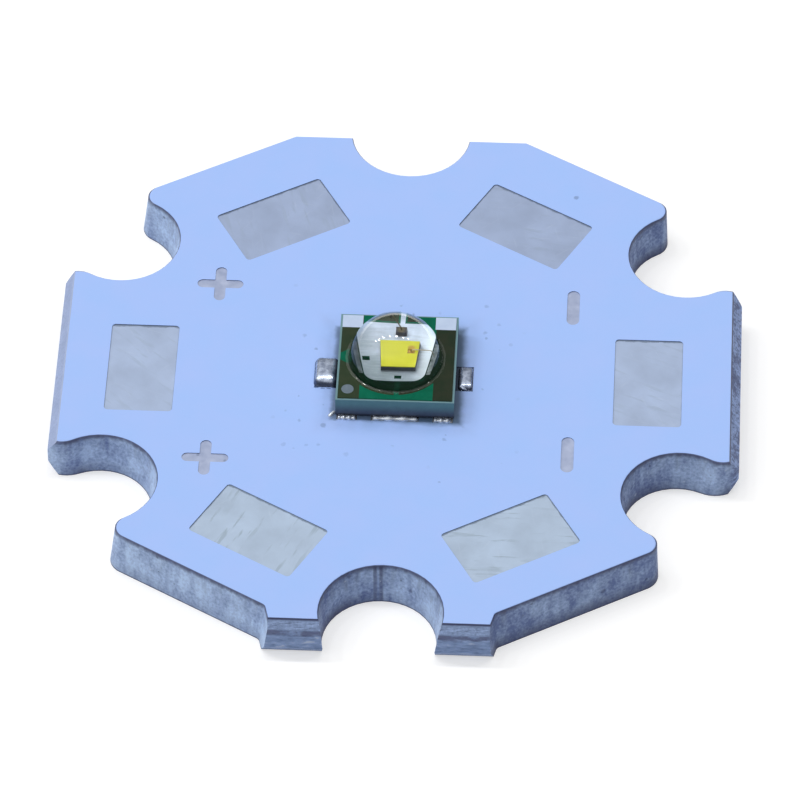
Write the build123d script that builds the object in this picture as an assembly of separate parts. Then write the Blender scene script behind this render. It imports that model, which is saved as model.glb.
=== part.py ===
from build123d import *
import math
import os

# A power LED on a star-shaped aluminium circuit board, in millimetres. The board lies flat with
# +Z up through the lens. The plus marks are on the -X side. The origin is at the middle of the
# underside, between the four edges where the board was snapped out of its panel.

# Board
board_width = 20.08            # snapped edge to snapped edge, left to right
board_depth = 19.72            # snapped edge to snapped edge, front to back
core_thickness = 1.2           # aluminium plate
dielectric_thickness = 0.1
copper_thickness = 0.05
mask_over_copper = 0.04
tin_thickness = 0.015
side_score_depth = 0.46        # scores that were cut from front to back
side_score_reach = 0.3         # how far their slopes reach in from the snapped edge
end_score_depth = 0.3          # scores that were cut from left to right
end_score_reach = 0.19
mask_edge_break = 0.03         # bevel round the mask's punched edge

# Star punched out of the scored strip
slant_overrun = 0.03           # the slanted sides are punched this far past the end scores
side_overrun = 0.21            # the left and right sides are punched this far past the scores
side_notch_radius = 1.7        # screw notches, two on the left and two on the right
side_notch_inset = 1.86        # their middles, in from the left and right sides
slant_notch_inset = 1.5        # and in from the slanted sides
end_notch_radius = 1.78        # screw notches at the front and the back
end_notch_inset = 1.54         # their middles, in from the slanted sides
tip_rounding_above = 0.42      # points between the slanted sides and the notches
tip_rounding_below = 0.58
lobe_rounding_above = 0.65     # corners of the left and right lobes
lobe_rounding_below = 0.95
punch_flare = 0.14             # the walls lean out this far on the way down
punch_lean_x = -0.06           # and a little to the left
punch_shift_x = -0.04          # the punch hit a little off the board's middle
punch_shift_y = 0.29
bridge_shift_x = -0.07
bridge_half_span = 3.12        # panel bridge left standing at the front
bridge_overrun = 0.5           # past the snapped edge, into the next board
bridge_flare_angle = 14.0
bridge_root_rounding = 0.2     # inner corners between the bridge and the slanted sides

# Printed pattern: copper, mask windows and marks
print_shift_x = -0.08
print_shift_y = -0.11
copper_pullback = 0.5          # copper stays this far inside the punched edge
thermal_land_margin = 0.3      # middle land wider than its terminal, each side
land_gap = 0.2
wire_pad_length = 3.45
side_pad_inset = 2.63          # middle of the left and right pads, in from the snapped edges
side_pad_width = 1.99
slant_pad_inset = 2.66         # middle of the other four pads, in from the slanted sides
slant_pad_width = 2.11
wire_pad_rounding = 0.12
plus_inset = 4.71              # middle of the plus signs, in from the left snapped edge
plus_place_y = 3.5
plus_length = 1.36
plus_stroke = 0.33
minus_inset = 4.9              # middle of the minus signs, in from the right snapped edge
minus_place_y = 2.95
minus_length = 1.38
minus_stroke = 0.37

# LED package
package_shift_x = 0.08         # placed a little off the printed pattern's middle
package_shift_y = 0.02
ceramic_size = 3.45
ceramic_thickness = 0.635
terminal_thickness = 0.04      # three metal pads under the ceramic
terminal_inset = 0.075         # from the ceramic's edges
side_terminal_width = 0.5
terminal_gap = 0.5
via_radius = 0.1
via_inset = 0.825              # from the back edge, so that each plug stands under its own trace
foil_thickness = 0.03          # metal and lacquer on the ceramic's face
face_rim = 0.06                # bare ceramic round the face
lens_inset = 0.375             # bare face left beside the dome
lens_skirt_width = 0.11        # skirt past the dome
lens_skirt_thickness = 0.03
lens_skirt_rise = 0.05         # the skirt's top slopes up this far where it meets the dome
lens_shift_x = -0.05           # lens off the ceramic's middle

# Face of the ceramic, seen round and through the lens
reflector_width = 1.5
reflector_depth = 1.6
reflector_rounding = 0.28      # its two front corners
tie_strip_width = 0.08
tie_strip_x = 0.035
trace_gap = 0.03
trace_disc_margin = 0.04       # the traces reach this far past the skirt
left_trace_width = 0.62
right_trace_width = 0.57
trace_notch_outer = 0.27
trace_notch_inner = 0.72
trace_notch_depth = 0.36
corner_mark_width = 0.6
corner_mark_depth = 0.49
round_mark_radius = 0.18
round_mark_inset_x = 0.275      # middle of the mark, from the left end of the face
round_mark_inset_y = 0.355      # and from its front
bond_land_width = 0.13
bond_land_length = 0.97
bond_land_y = -0.08
locating_slot_width = 0.17
locating_slot_depth = 0.12
locating_slot_reach_left = 0.71   # middle of the left slot from the middle of the die
locating_slot_reach_front = 0.6   # middle of the front slot from the middle of the die

# Chip, converter and protection diode
die_width = 0.8
die_depth = 0.76
die_height = 0.115
die_shift_x = 0.03
die_shift_y = -0.04
die_attach_thickness = 0.01
converter_thickness = 0.02
bond_window_width = 0.16       # bare metal left open in the converter for the wire
bond_window_depth = 0.12
bond_window_x = 0.25
bond_window_y = 0.1
diode_width = 0.2
diode_depth = 0.12
diode_height = 0.12
diode_inset = 0.19             # middle of the diode from the reflector's back edge
diode_wire_reach = 0.2         # how far the diode's wire runs sideways
diode_wire_landing = 0.06      # where it lands, past the edge of the trace
wire_radius = 0.013
wire_rise = 0.08

# Solder
solder_thickness = 0.06        # copper to terminal
window_margin = 0.05           # mask window wider than its terminal
toe_reach = 0.13               # window runs out past the ceramic, front and back
toe_bead_radius = 0.07
left_ear_reach = 0.68          # window ears beside the package
right_ear_reach = 0.5
ear_length = 0.98
ear_shift_y = -0.09
ear_solder_gap = 0.12          # thin neck of solder between the package and the lump
blob_height = 0.27             # round lump on the left ear
fillet_height = 0.13           # flat-topped lump on the right ear
fillet_slope_angle = 40.0
solder_fill = 0.03             # depth of solder over the rest of a window

# Heights worked out from the stack
z_dielectric = core_thickness
z_copper = z_dielectric + dielectric_thickness
z_copper_top = z_copper + copper_thickness
z_mask_top = z_copper_top + mask_over_copper
z_terminal = z_copper_top + solder_thickness
z_ceramic = z_terminal + terminal_thickness
z_foil = z_ceramic + ceramic_thickness
z_face = z_foil + foil_thickness
z_die = z_face + die_attach_thickness
z_converter = z_die + die_height
z_converter_top = z_converter + converter_thickness

# Places worked out from the board's size
slant_angle = 60                        # degrees from +X to the way that a slanted side faces
slant_cos = math.cos(math.radians(slant_angle))
slant_sin = math.sin(math.radians(slant_angle))
slant_apothem = board_depth / 2 + slant_overrun
side_apothem = board_width / 2 + side_overrun
side_notch_x = side_apothem - side_notch_inset
side_notch_y = (slant_apothem - slant_notch_inset - side_notch_x * slant_cos) / slant_sin
end_notch_y = (slant_apothem - end_notch_inset) / slant_sin
side_pad_radius = board_width / 2 - side_pad_inset
slant_pad_radius = slant_apothem - slant_pad_inset

far = 2 * (board_width + board_depth)   # longer than anything here
print_place = Pos(print_shift_x, print_shift_y)
package_place = Pos(print_shift_x + package_shift_x, print_shift_y + package_shift_y)

# Sizes and places worked out from the ceramic's and the reflector's
terminal_length = ceramic_size - 2 * terminal_inset
side_terminal_x = ceramic_size / 2 - terminal_inset - side_terminal_width / 2
thermal_terminal_width = 2 * side_terminal_x - side_terminal_width - 2 * terminal_gap
thermal_land_width = thermal_terminal_width + 2 * thermal_land_margin
via_y = ceramic_size / 2 - via_inset
lens_radius = ceramic_size / 2 - lens_inset
trace_disc_radius = lens_radius + lens_skirt_width + trace_disc_margin
diode_y = reflector_depth / 2 - diode_inset


def slab(outline, bottom, top):
    """An outline in the XY plane, made solid from one height to another."""
    return extrude(Pos(0, 0, bottom) * outline, amount=top - bottom, dir=(0, 0, 1))


def rectangle_between(x_low, x_high, y_low, y_high):
    middle = Pos((x_low + x_high) / 2, (y_low + y_high) / 2)
    return middle * Rectangle(x_high - x_low, y_high - y_low)


def largest_face(outline):
    """Drops the loose tips that a notch cuts off past its mouth."""
    return Sketch() + outline.faces().sort_by(SortBy.AREA)[-1]


def notch(angle, margin):
    """One round screw notch, larger by margin, with a mouth that opens midway between two sides."""
    right = math.cos(math.radians(angle))
    to_back = math.sin(math.radians(angle))
    if angle % 180 == 90:
        radius = end_notch_radius
        middle = Pos(0, math.copysign(end_notch_y, to_back))
    else:
        radius = side_notch_radius
        middle = Pos(math.copysign(side_notch_x, right), math.copysign(side_notch_y, to_back))
    half_mouth = radius / 2 + margin
    mouth = rectangle_between(0, far, -half_mouth, half_mouth)
    return middle * (Circle(radius + margin) + Rot(0, 0, angle) * mouth)


def slanted_sides(margin):
    """The four slanted sides and all six notches, with sharp points, smaller by margin."""
    star = Rectangle(far, far)
    for angle in (slant_angle, 180 - slant_angle):
        star &= Rot(0, 0, angle) * Rectangle(2 * (slant_apothem - margin), far)
    for k in range(6):
        star -= notch(30 + 60 * k, margin)
    return largest_face(star)


def plain_lobes(margin):
    """The left and right sides and the four notches beside them, with sharp corners."""
    lobes = Rectangle(2 * (side_apothem - margin), far)
    for angle in (30, 150, 210, 330):
        lobes -= notch(angle, margin)
    return largest_face(lobes)


def star_outline(inset, tip_rounding, lobe_rounding):
    """The punched star, smaller by inset. Outlines cut too small are grown back with round corners."""
    tips = offset(slanted_sides(inset + tip_rounding), amount=tip_rounding)
    lobes = offset(plain_lobes(inset + lobe_rounding), amount=lobe_rounding)
    return Pos(punch_shift_x, punch_shift_y) * (tips & lobes)


def bridge_outline(inset):
    """The bridge that joined the board to the next one, as deep as its notch, narrower by inset."""
    slope = math.tan(math.radians(bridge_flare_angle))
    half_span = bridge_half_span - inset / math.cos(math.radians(bridge_flare_angle))
    root = board_depth / 2 - end_notch_y + end_notch_radius
    narrow = half_span - bridge_overrun * slope
    wide = half_span + root * slope
    bridge = Polygon(
        (-narrow, -bridge_overrun),
        (narrow, -bridge_overrun),
        (wide, root),
        (-wide, root),
        align=None,
    )
    front_notch = Pos(punch_shift_x, punch_shift_y) * notch(270, inset)
    return Pos(bridge_shift_x, -board_depth / 2) * bridge - front_notch


def scored_strip(span, score_depth, score_reach):
    """A long strip between two scores, along Y: it slopes in above and below its snapped webs."""
    web = span / 2
    flat = web - score_reach
    section = Polygon(
        (-flat, 0),
        (flat, 0),
        (web, score_depth),
        (web, z_mask_top - score_depth),
        (flat, z_mask_top),
        (-flat, z_mask_top),
        (-web, z_mask_top - score_depth),
        (-web, score_depth),
        align=None,
    )
    return extrude(Plane.XZ * section, amount=far / 2, both=True)


def scored_blank():
    """The square left where two strips cross, one between each pair of scores."""
    strip = scored_strip(board_width, side_score_depth, side_score_reach)
    cross_strip = scored_strip(board_depth, end_score_depth, end_score_reach)
    return strip & Rot(0, 0, 90) * cross_strip


def punched_outline(inset, tip_rounding, lobe_rounding):
    """The star and its bridge. Cut too large and shrunk back, they get round inner corners."""
    spare = bridge_root_rounding
    star = star_outline(inset - spare, tip_rounding + spare, lobe_rounding + spare)
    return offset(star + bridge_outline(inset - spare), amount=-spare)


def punched_outline_below():
    """The punched edge at the underside, where the walls have leant out."""
    outline = punched_outline(-punch_flare, tip_rounding_below, lobe_rounding_below)
    return Pos(punch_lean_x, 0) * outline


def punched_outline_above(inset):
    return punched_outline(inset, tip_rounding_above, lobe_rounding_above)


def board_body():
    """The board's full thickness, with its leaning walls and rounded-over upper edge."""
    sections = [
        punched_outline_below(),
        Pos(0, 0, z_mask_top - mask_edge_break) * punched_outline_above(0),
        Pos(0, 0, z_mask_top) * punched_outline_above(mask_edge_break),
    ]
    return loft([section.face() for section in sections], ruled=True) & scored_blank()


def layer(body, bottom, top):
    """The part of the board between two heights."""
    return body & Pos(0, 0, (bottom + top) / 2) * Box(far, far, top - bottom)


def copper_lands():
    """Left, middle and right lands: current in, heat, current out."""
    side_margin = side_score_reach + copper_pullback
    end_margin = end_score_reach + copper_pullback
    field = Pos(punch_shift_x, punch_shift_y) * slanted_sides(copper_pullback)
    field &= Rectangle(board_width - 2 * side_margin, board_depth - 2 * end_margin)
    middle_x = print_shift_x + package_shift_x
    half = thermal_land_width / 2
    return {
        "copper_land_left": field & rectangle_between(-far, middle_x - half - land_gap, -far, far),
        "copper_land_middle": field & rectangle_between(middle_x - half, middle_x + half, -far, far),
        "copper_land_right": field & rectangle_between(middle_x + half + land_gap, far, -far, far),
    }


def wire_pads():
    """Six windows for soldering wires, one along each side of the star."""
    pads = {}
    places = {
        "right": (0, side_pad_radius, side_pad_width),
        "back_right": (60, slant_pad_radius, slant_pad_width),
        "back_left": (120, slant_pad_radius, slant_pad_width),
        "left": (180, side_pad_radius, side_pad_width),
        "front_left": (240, slant_pad_radius, slant_pad_width),
        "front_right": (300, slant_pad_radius, slant_pad_width),
    }
    for name, (angle, radius, width) in places.items():
        pad = RectangleRounded(width, wire_pad_length, wire_pad_rounding)
        pads[f"wire_pad_{name}"] = print_place * Rot(0, 0, angle) * Pos(radius, 0) * pad
    return pads


def polarity_marks():
    """Two plus signs on the left and two minus signs on the right, opened in the mask."""
    bar = SlotOverall(plus_length, plus_stroke)
    plus = bar + Rot(0, 0, 90) * bar
    minus = Rot(0, 0, 90) * SlotOverall(minus_length, minus_stroke)
    marks = {}
    for name, side in {"back": 1, "front": -1}.items():
        plus_place = Pos(plus_inset - board_width / 2, side * plus_place_y)
        minus_place = Pos(board_width / 2 - minus_inset, side * minus_place_y)
        marks[f"plus_mark_{name}"] = print_place * plus_place * plus
        marks[f"minus_mark_{name}"] = print_place * minus_place * minus
    return marks


def terminal_outlines():
    side = Rectangle(side_terminal_width, terminal_length)
    return {
        "left": Pos(-side_terminal_x, 0) * side,
        "middle": Rectangle(thermal_terminal_width, terminal_length),
        "right": Pos(side_terminal_x, 0) * side,
    }


def solder_windows():
    """Mask windows under the package, with an ear on each side to feed solder in."""
    length = ceramic_size + 2 * toe_reach
    side = Rectangle(side_terminal_width + 2 * window_margin, length)
    low = ear_shift_y - ear_length / 2
    high = ear_shift_y + ear_length / 2
    left_end = -ceramic_size / 2 - left_ear_reach
    right_end = ceramic_size / 2 + right_ear_reach
    left_ear = rectangle_between(left_end, -side_terminal_x, low, high)
    right_ear = rectangle_between(side_terminal_x, right_end, low, high)
    return {
        "left": Pos(-side_terminal_x, 0) * side + left_ear,
        "middle": Rectangle(thermal_terminal_width + 2 * window_margin, length),
        "right": Pos(side_terminal_x, 0) * side + right_ear,
    }


def solder_mask(body, lands, openings):
    mask = layer(body, z_copper, z_mask_top)
    for land in lands.values():
        mask -= slab(land, z_copper, z_copper_top)
    for opening in openings:
        mask -= slab(opening, z_copper_top, z_mask_top)
    return mask


def above_copper(solid):
    return solid & Pos(0, 0, z_copper_top + far / 2) * Box(far, far, far)


def toe_beads(place_x, width):
    """Solder drawn out from under the package, front and back."""
    place_y = ceramic_size / 2 + toe_reach - toe_bead_radius
    place_z = z_copper_top + solder_fill / 2
    bead = Rot(0, 90, 0) * Cylinder(toe_bead_radius, width)
    return [above_copper(Pos(place_x, end * place_y, place_z) * bead) for end in (-1, 1)]


def round_lump():
    """Solder heaped on the left ear."""
    width = left_ear_reach - ear_solder_gap
    middle_x = -ceramic_size / 2 - ear_solder_gap - width / 2
    ball = scale(Sphere(1), by=(width / 2, ear_length / 2, blob_height))
    return above_copper(Pos(middle_x, ear_shift_y, z_copper_top) * ball)


def flat_lump():
    """Solder on the right ear, flat on top."""
    width = right_ear_reach - ear_solder_gap
    middle_x = ceramic_size / 2 + ear_solder_gap + width / 2
    foot = Pos(middle_x, ear_shift_y, z_copper_top) * Rectangle(width, ear_length)
    return extrude(foot, amount=fillet_height, taper=fillet_slope_angle)


def solder_joints():
    joints = {}
    outlines = terminal_outlines()
    lumps = {"left": [round_lump()], "middle": [], "right": [flat_lump()]}
    for name, window in solder_windows().items():
        joint = slab(window, z_copper_top, z_copper_top + solder_fill)
        joint += slab(outlines[name], z_copper_top, z_terminal)
        span = outlines[name].bounding_box()
        for lump in toe_beads(span.center().X, span.size.X) + lumps[name]:
            joint += lump
        joints[f"solder_joint_{name}"] = joint
    return joints


def ceramic_and_vias():
    """The ceramic, and the two metal plugs that carry current down through it."""
    ceramic = slab(Rectangle(ceramic_size, ceramic_size), z_ceramic, z_foil)
    pieces = {}
    for name, side in {"left": -1, "right": 1}.items():
        via = Pos(side * side_terminal_x, via_y, z_ceramic) * Cylinder(
            via_radius, ceramic_thickness, align=(Align.CENTER, Align.CENTER, Align.MIN)
        )
        ceramic -= via
        pieces[f"via_{name}"] = via
    pieces["ceramic_substrate"] = ceramic
    return pieces


def locating_slots():
    """Slots in the reflector that show where the chip goes."""
    slot = Rectangle(locating_slot_width, locating_slot_depth)
    middle = Pos(die_shift_x, die_shift_y)
    return [
        middle * Pos(-locating_slot_reach_left, 0) * slot,
        middle * Pos(0, -locating_slot_reach_front) * slot,
    ]


def face_outlines():
    """The metal and lacquer on the ceramic's face, which meet edge to edge in one layer."""
    half = ceramic_size / 2 - face_rim
    lens_middle = Pos(lens_shift_x, 0)
    face = Rectangle(2 * half, 2 * half)

    reflector = Rectangle(reflector_width, reflector_depth)
    front_corners = reflector.vertices().group_by(Axis.Y)[0]
    reflector = lens_middle * fillet(front_corners, reflector_rounding)
    tie_low = tie_strip_x - tie_strip_width / 2
    tie_high = tie_strip_x + tie_strip_width / 2
    reflector += rectangle_between(tie_low, tie_high, 0, trace_disc_radius)
    for slot in locating_slots():
        reflector -= slot

    marks = {
        "corner_mark_left": rectangle_between(
            -half, -half + corner_mark_width, half - corner_mark_depth, half
        ),
        "corner_mark_right": rectangle_between(
            half - corner_mark_width, half, half - corner_mark_depth, half
        ),
        "round_mark": Pos(round_mark_inset_x - half, round_mark_inset_y - half)
        * Circle(round_mark_radius),
    }
    land_x = reflector_width / 2 + trace_gap + bond_land_width / 2
    land = Rectangle(bond_land_width, bond_land_length)
    bond_lands = {
        "bond_land_left": lens_middle * Pos(-land_x, bond_land_y) * land,
        "bond_land_right": lens_middle * Pos(land_x, bond_land_y) * land,
    }

    disc = lens_middle * Circle(trace_disc_radius)
    keep_out = Rectangle(reflector_width + 2 * trace_gap, reflector_depth + 2 * trace_gap)
    keep_out = lens_middle * keep_out
    notch = Polygon(
        (-half, -trace_notch_outer / 2),
        (-half + trace_notch_depth, -trace_notch_inner / 2),
        (-half + trace_notch_depth, trace_notch_inner / 2),
        (-half, trace_notch_outer / 2),
        align=None,
    )
    left = disc + rectangle_between(-half, -half + left_trace_width, -half, half)
    right = disc + rectangle_between(half - right_trace_width, half, -half, half)
    left = left & rectangle_between(-half, tie_low - trace_gap, -half, half)
    right = right & rectangle_between(tie_high + trace_gap, half, -half, half)
    left = left - keep_out - notch
    right = right - keep_out
    for outline in list(marks.values()) + list(bond_lands.values()):
        left -= outline
        right -= outline

    pieces = {"reflector_pad": reflector, "trace_left": left, "trace_right": right}
    pieces.update(marks)
    pieces.update(bond_lands)
    lacquer = face
    for outline in pieces.values():
        lacquer -= outline
    pieces["face_lacquer"] = lacquer
    return pieces


def chip_pieces():
    """The chip on its solder, and the yellow converter with a window for the wire."""
    middle = Pos(die_shift_x, die_shift_y)
    chip = middle * Rectangle(die_width, die_depth)
    window = Rectangle(bond_window_width, bond_window_depth)
    window = middle * Pos(bond_window_x, bond_window_y) * window
    diode = Pos(die_shift_x, diode_y) * Rectangle(diode_width, diode_depth)
    return {
        "die_attach": slab(chip, z_face, z_die),
        "led_die": slab(chip, z_die, z_converter),
        "light_converter": slab(chip - window, z_converter, z_converter_top),
        "protection_diode": slab(diode, z_face, z_face + diode_height),
    }


def bond_wire(start, end):
    """A gold wire from one point up, across and down to another."""
    top = max(start[2], end[2]) + wire_rise
    points = [start, (start[0], start[1], top), (end[0], end[1], top), end]
    path = FilletPolyline(*points, radius=0.9 * wire_rise)
    section = Plane(origin=start, z_dir=(0, 0, 1)) * RegularPolygon(wire_radius, 6)
    return sweep(section, path=path)


def bond_wires():
    land_x = lens_shift_x + reflector_width / 2 + trace_gap + bond_land_width / 2
    chip_x = die_shift_x + bond_window_x
    chip_y = die_shift_y + bond_window_y
    diode_top = z_face + diode_height
    diode_end_x = die_shift_x - diode_wire_reach
    diode_end_y = reflector_depth / 2 + trace_gap + diode_wire_landing
    return {
        "bond_wire_chip": bond_wire((chip_x, chip_y, z_converter), (land_x, chip_y, z_face)),
        "bond_wire_diode": bond_wire(
            (die_shift_x, diode_y, diode_top), (diode_end_x, diode_end_y, z_face)
        ),
    }


def lens(inner_pieces):
    """A half ball of clear silicone with a thin skirt, moulded over everything on the face."""
    skirt_radius = lens_radius + lens_skirt_width
    foot_height = lens_skirt_thickness + lens_skirt_rise
    foot_angle = math.asin(foot_height / lens_radius)
    middle_angle = (foot_angle + math.pi / 2) / 2
    dome_foot = (lens_radius * math.cos(foot_angle), foot_height)
    dome_middle = (lens_radius * math.cos(middle_angle), lens_radius * math.sin(middle_angle))
    dome_top = (0, lens_radius)
    skirt = Polyline(
        dome_top,
        (0, 0),
        (skirt_radius, 0),
        (skirt_radius, lens_skirt_thickness),
        dome_foot,
    )
    profile = make_face(skirt + ThreePointArc(dome_foot, dome_middle, dome_top))
    dome = revolve(Plane.XZ * profile, Axis.Z)
    dome = Pos(lens_shift_x, 0, z_face) * dome
    for piece in inner_pieces:
        dome -= piece
    return dome


def board_pieces():
    body = board_body()
    lands = copper_lands()
    tinned = {**wire_pads(), **polarity_marks()}
    windows = [package_place * window for window in solder_windows().values()]
    pieces = {
        "base_plate": layer(body, 0, core_thickness),
        "dielectric_layer": layer(body, z_dielectric, z_copper),
        "solder_mask": solder_mask(body, lands, list(tinned.values()) + windows),
    }
    for name, land in lands.items():
        pieces[name] = slab(land, z_copper, z_copper_top)
    for name, shape in tinned.items():
        pieces[name] = slab(shape, z_copper_top, z_copper_top + tin_thickness)
    return pieces


def package_pieces():
    pieces = solder_joints()
    for name, shape in terminal_outlines().items():
        pieces[f"terminal_{name}"] = slab(shape, z_terminal, z_ceramic)
    pieces.update(ceramic_and_vias())
    for name, shape in face_outlines().items():
        pieces[name] = slab(shape, z_foil, z_face)
    inside = {**chip_pieces(), **bond_wires()}
    pieces.update(inside)
    pieces["led_lens"] = lens(inside.values())
    return {name: package_place * piece for name, piece in pieces.items()}


os.makedirs("parts", exist_ok=True)
for name, piece in {**board_pieces(), **package_pieces()}.items():
    solids = piece.solids()
    shape = solids[0] if len(solids) == 1 else Compound(children=list(solids))
    export_step(shape, f"parts/{name}.step")
    print(name, len(solids), round(piece.volume, 5))
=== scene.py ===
# %% [markdown]
# # A power LED on a star-shaped circuit board
# The object is about 20 mm across: an aluminium board with white lacquer, six bare solder pads,
# and one LED in a small ceramic package under a silicone dome. Its rigid pieces come from a CAD
# model that is already packed. This file dresses them: it gives each one a material, replaces the
# four that need a rounder shape, and sets up the camera, the floor and the lamps.
#
# Everything is in metres, with +Z up through the LED.

# %% Load the CAD pieces
import math

import bpy
from mathutils import Matrix, Vector


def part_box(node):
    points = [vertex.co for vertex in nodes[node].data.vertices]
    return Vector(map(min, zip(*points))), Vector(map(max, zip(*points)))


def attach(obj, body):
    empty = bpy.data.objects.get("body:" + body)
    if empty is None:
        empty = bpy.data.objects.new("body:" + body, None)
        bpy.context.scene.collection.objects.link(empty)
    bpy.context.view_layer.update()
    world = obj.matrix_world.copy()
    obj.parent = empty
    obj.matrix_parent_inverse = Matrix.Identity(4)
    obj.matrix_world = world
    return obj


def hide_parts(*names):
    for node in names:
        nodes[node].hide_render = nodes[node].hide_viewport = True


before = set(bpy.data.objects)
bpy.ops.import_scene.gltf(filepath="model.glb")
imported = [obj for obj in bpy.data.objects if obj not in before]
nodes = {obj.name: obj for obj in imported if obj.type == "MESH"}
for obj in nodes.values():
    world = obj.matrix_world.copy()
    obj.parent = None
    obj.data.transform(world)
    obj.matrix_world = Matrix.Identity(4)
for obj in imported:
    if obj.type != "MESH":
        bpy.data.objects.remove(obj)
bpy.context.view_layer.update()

MM = 0.001
bpy.ops.object.select_all(action="DESELECT")

# %% [markdown]
# ## The camera
# The photograph was taken from the front with a long lens, about 47 degrees above the board.
# A camera could be placed by eye, but a board with known sizes fixes it exactly: the numbers
# below were fitted so that the board's corners fall where the photograph has them. They are
# measured from a point on the board's face. The camera looks along its own -Z, so its three axes
# are written as the columns of a matrix.

# %% Place the camera
azimuth = math.radians(2.933)
elevation = math.radians(46.851)
roll = math.radians(-0.348)
camera_distance = 201.63 * MM
focal_length_px = 6894.98
image_width_px = 800
aim_right, aim_up = 0.151 * MM, -0.728 * MM
face_point = Vector((-0.08, -0.11, 1.39)) * MM

back = Vector((
    math.sin(azimuth) * math.cos(elevation),
    -math.cos(azimuth) * math.cos(elevation),
    math.sin(elevation),
))
level = Vector((math.cos(azimuth), math.sin(azimuth), 0))
up = back.cross(level)
camera_x = level * math.cos(roll) + up * math.sin(roll)
camera_y = up * math.cos(roll) - level * math.sin(roll)
camera_place = face_point + back * camera_distance + level * aim_right + up * aim_up
camera_axes = Matrix((camera_x, camera_y, back)).transposed().to_4x4()

camera_data = bpy.data.cameras.new("camera")
camera = bpy.data.objects.new("camera", camera_data)
bpy.context.scene.collection.objects.link(camera)
camera.matrix_world = Matrix.Translation(camera_place) @ camera_axes
camera_data.sensor_width = 36
camera_data.lens = focal_length_px / image_width_px * camera_data.sensor_width
camera_data.clip_start = 0.01
bpy.context.scene.camera = camera
print("camera lens in mm", round(camera_data.lens, 1))

# %% [markdown]
# ## Materials as node trees
# Each finish is a small tree of nodes round one Principled BSDF. A tree could be drawn by hand in
# the shader editor, but a script can be read and changed line by line. A few helpers keep it
# short: they add a node, do a step of arithmetic, and lay one colour over another by a mask.
# Patterns read Object coordinates, and a Mapping node turns metres into millimetres.

# %% Helpers for node trees
def feed(tree, value, socket):
    """Links a socket to an input, or sets the input to a plain value."""
    if isinstance(value, bpy.types.NodeSocket):
        tree.links.new(value, socket)
    elif socket.type == "RGBA":
        socket.default_value = (*value, 1)
    else:
        socket.default_value = value


def add_node(tree, kind, inputs=None, **settings):
    """Adds a node; settings are its properties, and inputs are values or sockets by name."""
    node = tree.nodes.new(kind)
    for name, value in settings.items():
        setattr(node, name, value)
    for name, value in (inputs or {}).items():
        feed(tree, value, node.inputs[name])
    return node


def math_node(tree, operation, *values):
    """One step of arithmetic on numbers or sockets."""
    node = add_node(tree, "ShaderNodeMath", dict(enumerate(values)), operation=operation)
    return node.outputs[0]


def times(tree, first, second):
    """Two numbers or masks, multiplied."""
    return math_node(tree, "MULTIPLY", first, second)


def linear(tree, value, factor, offset):
    """A value times a factor, plus an offset."""
    return math_node(tree, "MULTIPLY_ADD", value, factor, offset)


def clamp(tree, value):
    """Keeps a value between 0 and 1."""
    return add_node(tree, "ShaderNodeClamp", {"Value": value}).outputs[0]


def vector_node(tree, operation, *values):
    """One step of vector arithmetic; a length comes out as a number."""
    node = add_node(tree, "ShaderNodeVectorMath", dict(enumerate(values)), operation=operation)
    return node.outputs["Value" if operation == "LENGTH" else "Vector"]


def axes_of(tree, vector):
    """A vector's three numbers, as outputs X, Y and Z."""
    return add_node(tree, "ShaderNodeSeparateXYZ", {0: vector}).outputs


def ramp_between(tree, value, low, high, to_low=0.0, to_high=1.0):
    """Goes smoothly from to_low to to_high while value goes from low to high."""
    node = add_node(tree, "ShaderNodeMapRange",
                    {"Value": value, "From Min": low, "From Max": high,
                     "To Min": to_low, "To Max": to_high}, interpolation_type="SMOOTHSTEP")
    return node.outputs["Result"]


def mix_colours(tree, factor, first, second):
    """A colour between two."""
    return add_node(tree, "ShaderNodeMix", {0: factor, 6: first, 7: second},
                    data_type="RGBA").outputs[2]


def paint(tree, colour, other, mask, amount=1.0):
    """Lays another colour over one where a mask says; amount is how well it covers."""
    return mix_colours(tree, mask if amount == 1.0 else times(tree, mask, amount), colour, other)


def stretch(tree, place, scale):
    """A place scaled along its axes: a small number draws a pattern out."""
    return add_node(tree, "ShaderNodeMapping", {"Vector": place, "Scale": scale}).outputs[0]


def turn_about_z(tree, place, angle):
    """A place turned about the upright axis; angle is in radians."""
    return add_node(tree, "ShaderNodeVectorRotate", {"Vector": place, "Angle": angle},
                    rotation_type="Z_AXIS").outputs[0]


def place_in_mm(tree, scale=(1, 1, 1), turn=0.0, centre=(0, 0, 0)):
    """Object coordinates in millimetres from a centre, turned about Z and scaled."""
    place = add_node(tree, "ShaderNodeTexCoord").outputs["Object"]
    moved = add_node(tree, "ShaderNodeMapping", {"Vector": place, "Scale": (1000, 1000, 1000),
                                                 "Location": [-c for c in centre]}).outputs[0]
    return add_node(tree, "ShaderNodeMapping", {"Vector": moved, "Rotation": (0, 0, turn),
                                                "Scale": scale}).outputs[0]


def facing_of(tree):
    """The way a surface faces, in the object's own axes."""
    return add_node(tree, "ShaderNodeTexCoord").outputs["Normal"]


# %% [markdown]
# A second set of helpers works on whole materials: one starts a material, one feeds its shader,
# one puts it on CAD pieces, and two build node groups and place them. A group holds a pattern
# that many finishes share, and gives out only colours, masks and values.

# %% Helpers for materials and groups
def start_material(name, **values):
    """A new material with its Principled BSDF set to plain values."""
    material = bpy.data.materials.new(name)
    material.use_nodes = True
    tree = material.node_tree
    shader = tree.nodes["Principled BSDF"]
    for title, value in values.items():
        feed(tree, value, shader.inputs[title.replace("_", " ")])
    return material, tree, shader


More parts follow.
